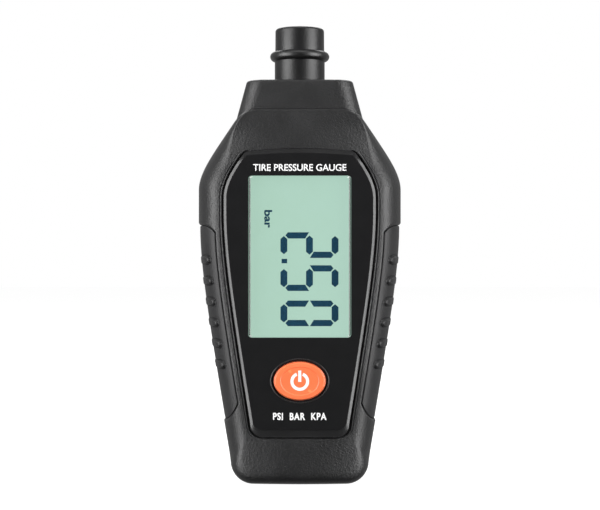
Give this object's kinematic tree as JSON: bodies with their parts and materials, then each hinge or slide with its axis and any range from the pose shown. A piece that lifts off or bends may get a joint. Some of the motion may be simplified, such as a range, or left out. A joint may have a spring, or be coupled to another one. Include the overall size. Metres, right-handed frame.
{
  "type": "tire pressure gauge",
  "caption": "Handheld digital tire pressure gauge: waisted dark case with side grips, framed display, oval power button and a round push-on valve nozzle with a rubber ring.",
  "frame": {"origin": "middle of the flat foot, on the parting plane", "axes": "+Z along the length towards the nozzle, face towards -Y, +X to the right seen from the front"},
  "size_m": [0.0648, 0.0317, 0.145],
  "materials": {
    "case_plastic": "fine moulded texture",
    "grip_rubber": "matte soft-touch",
    "face_plastic": "gloss",
    "face_film": "satin film",
    "window_clear": "clear",
    "lcd": "satin liquid crystal display",
    "frame_white": "matte",
    "guide_clear": "frosted",
    "silicone_pink": "matte",
    "board_green": "solder mask",
    "chip_black": "matte",
    "ceramic_tan": "matte",
    "plated_steel": "nickel plated",
    "screw_steel": "zinc plated",
    "button_orange": "soft matte",
    "silicone_clear": "translucent",
    "nozzle_plastic": "satin",
    "ring_rubber": "matte",
    "pin_brass": "turned",
    "cell_sleeve": "printed sleeve without lettering",
    "label_silver": "satin, blank"
  },
  "bodies": {
    "case": {"front_case": "case_plastic", "rear_case": "case_plastic", "side_grip_left": "grip_rubber", "side_grip_right": "grip_rubber", "face_bezel": "face_plastic", "face_overlay": "face_film", "display_window": "window_clear", "lcd_glass": "lcd", "lcd_frame": "frame_white", "light_guide": "guide_clear", "zebra_strip": "silicone_pink", "main_board": "board_green", "mcu_chip": "chip_black", "amplifier_chip": "chip_black", "chip_capacitors": "ceramic_tan", "crystal_can": "plated_steel", "backlight_led": "frame_white", "switch_body": "plated_steel", "pressure_sensor": "frame_white", "air_tube": "silicone_clear", "tube_clip_lower": "plated_steel", "tube_clip_upper": "plated_steel", "nozzle_body": "nozzle_plastic", "nozzle_ring": "ring_rubber", "valve_seal": "ring_rubber", "seal_retainer": "plated_steel", "depressor_pin": "pin_brass", "battery_left": "cell_sleeve", "battery_right": "cell_sleeve", "contact_bridge": "plated_steel", "contact_positive": "plated_steel", "contact_negative": "plated_steel", "rear_label": "label_silver", "case_screw_1": "screw_steel", "case_screw_2": "screw_steel", "case_screw_3": "screw_steel", "case_screw_4": "screw_steel", "board_screw_1": "screw_steel", "board_screw_2": "screw_steel", "board_screw_3": "screw_steel", "board_screw_4": "screw_steel"},
    "button": {"power_button": "button_orange", "switch_plunger": "chip_black"},
    "door": {"battery_door": "case_plastic"}
  },
  "joints": [
    {"name": "button_press", "type": "slide", "parent": "case", "child": "button", "axis": [0, 1, 0], "range_m": [0, 0.0005], "stiffness_N_per_m": 4000},
    {"name": "door_slide", "type": "slide", "parent": "case", "child": "door", "axis": [0, 0, -1], "range_m": [0, 0.009]}
  ]
}
